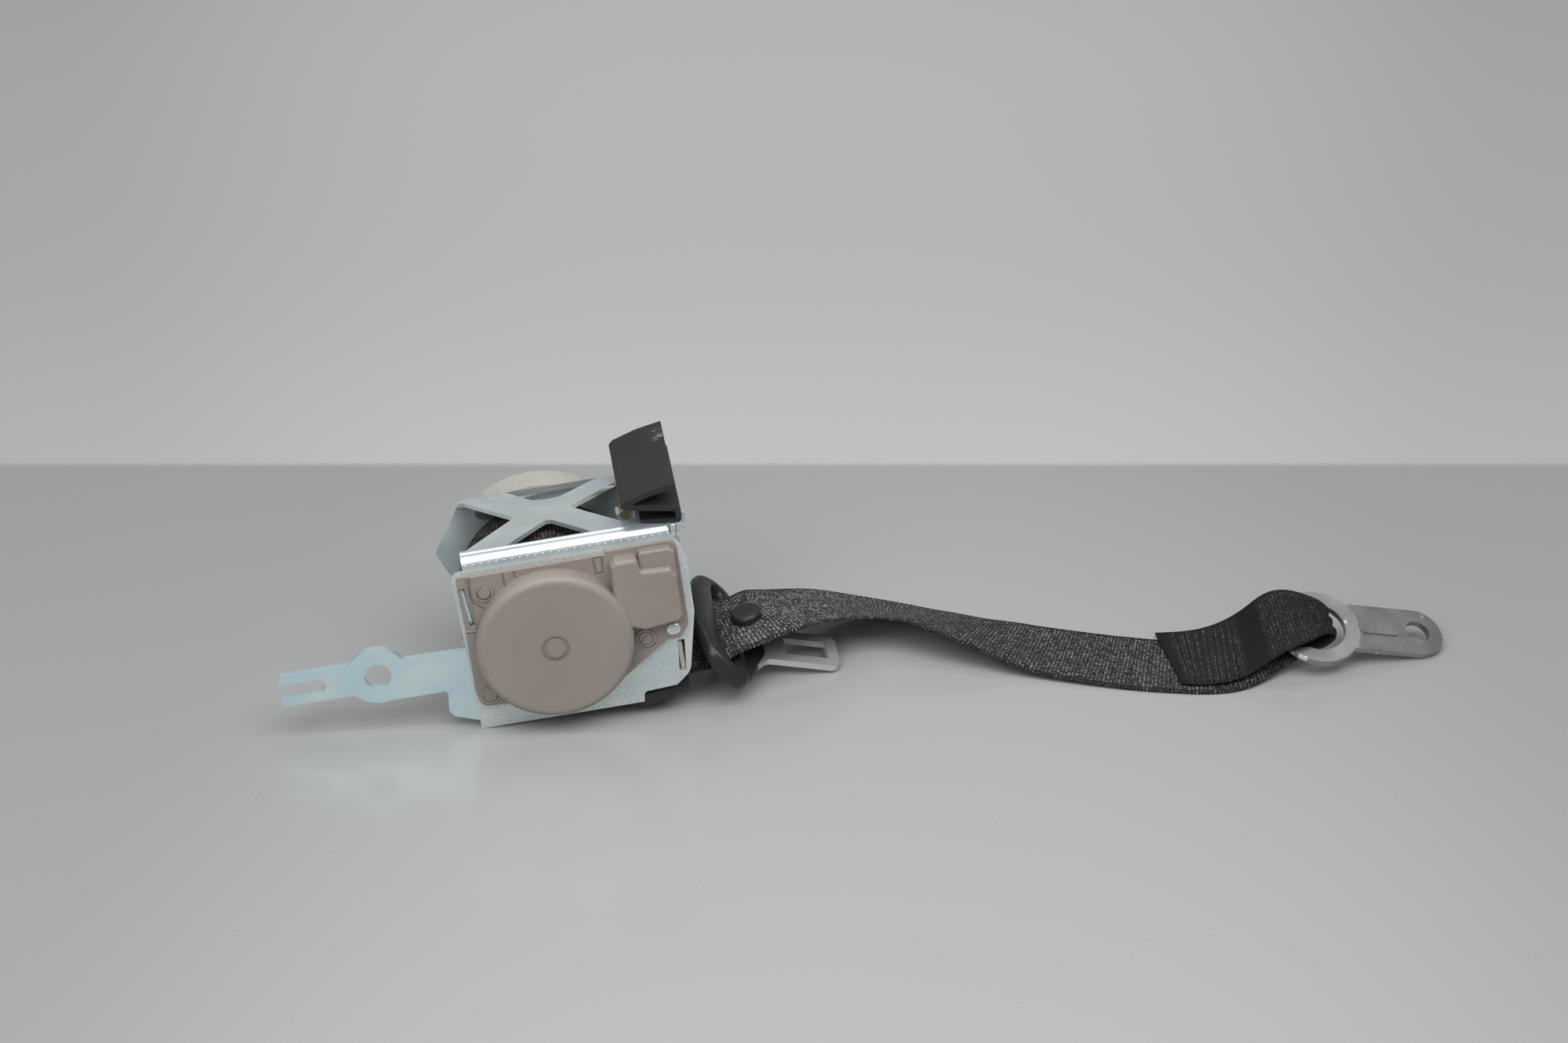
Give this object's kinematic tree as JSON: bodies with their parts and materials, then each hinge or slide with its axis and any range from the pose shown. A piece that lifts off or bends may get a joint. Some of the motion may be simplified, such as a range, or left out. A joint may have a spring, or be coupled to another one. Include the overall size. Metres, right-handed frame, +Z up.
{
  "type": "seat belt",
  "caption": "Car seat belt with emergency locking retractor: webbing reel in a cross-braced steel frame, bolt-on arm, sliding tongue and looped floor anchor plate",
  "frame": {"origin": "middle of the overall box, on the surface that the belt lies on", "axes": "+X runs along the belt from the retractor to the floor anchor, +Y points away from the front of the retractor, towards its mechanism cover, +Z is up"},
  "size_m": [0.5282, 0.1004, 0.1158],
  "materials": {
    "zinc_steel": "zinc plated, bluish, light grain",
    "arm_steel": "zinc plated with a slight yellow cast",
    "dark_steel": "hardened steel, oiled",
    "blade_steel": "bright plated",
    "anchor_steel": "dull grey zinc with small splashes",
    "cover_plastic": "warm taupe grey, fine texture",
    "cream_plastic": "cream, smooth",
    "black_plastic": "dark grey black with scuffs",
    "nylon": "natural nylon",
    "bearing_plastic": "black acetal",
    "webbing": "charcoal polyester weave with pale flecks",
    "yellow_zinc": "yellow passivated",
    "cast_alloy": "die cast",
    "spring_steel": "blued spring strip"
  },
  "bodies": {
    "retractor": {"frame": "zinc_steel", "mounting_arm": "arm_steel", "arm_rivets": "zinc_steel", "front_bush": "nylon", "back_bush": "nylon", "main_spring": "spring_steel", "spring_cover": "cover_plastic", "cover_clips": "cover_plastic", "mechanism_cover": "cream_plastic", "mechanism_clips": "cream_plastic", "sensor_housing": "black_plastic", "sensor_pin": "dark_steel", "pawl_pivot": "dark_steel", "lip_pin": "yellow_zinc", "trim_lip": "black_plastic", "exit_guide": "black_plastic", "webbing": "webbing", "webbing_loop": "webbing", "stop_button": "black_plastic", "stop_button_back": "black_plastic"},
    "reel": {"spool": "cast_alloy", "torsion_bar": "dark_steel", "ratchet_wheel": "dark_steel", "lock_gear": "nylon", "webbing_roll": "webbing", "spring_arbor": "nylon"},
    "pawl": {"lock_pawl": "dark_steel"},
    "lever": {"sensor_lever": "nylon"},
    "ball": {"sensor_ball": "dark_steel"},
    "tongue": {"tongue_plate": "blade_steel", "tongue_grip": "black_plastic"},
    "anchor": {"anchor_plate": "anchor_steel", "anchor_sleeve": "black_plastic"}
  },
  "joints": [
    {"name": "reel_turn", "type": "hinge", "parent": "retractor", "child": "reel", "pos_m": [-0.14342, -0.00807, 0.04447], "axis": [0, -1, 0], "continuous": true},
    {"name": "pawl_swing", "type": "hinge", "parent": "retractor", "child": "pawl", "pos_m": [-0.17105, 0.01873, 0.07818], "axis": [0, 1, 0], "range_deg": [0, 9], "stiffness_Nm_per_rad": 0.004, "springref_deg": -8.59},
    {"name": "ball_rise", "type": "slide", "parent": "retractor", "child": "ball", "axis": [-0.1167, 0, 0.9932], "range_m": [0, 0.0012]},
    {"name": "lever_swing", "type": "hinge", "parent": "retractor", "child": "lever", "pos_m": [-0.10771, 0.02993, 0.02762], "axis": [0, 1, 0], "range_deg": [0, 5]},
    {"name": "tongue_tilt", "type": "hinge", "parent": "retractor", "child": "tongue", "pos_m": [-0.0657, -0.00088, 0.02261], "axis": [0.0099, -0.9924, -0.1225], "range_deg": [0, 5]},
    {"name": "anchor_swing", "type": "hinge", "parent": "retractor", "child": "anchor", "pos_m": [0.18904, -0.02407, 0.01703], "axis": [0.0042, -0.9127, -0.4087], "range_deg": [0, 15]}
  ],
  "couplings": [
    {"joint": "lever_swing", "follows": "ball_rise", "rad_per_m": 72.67}
  ]
}
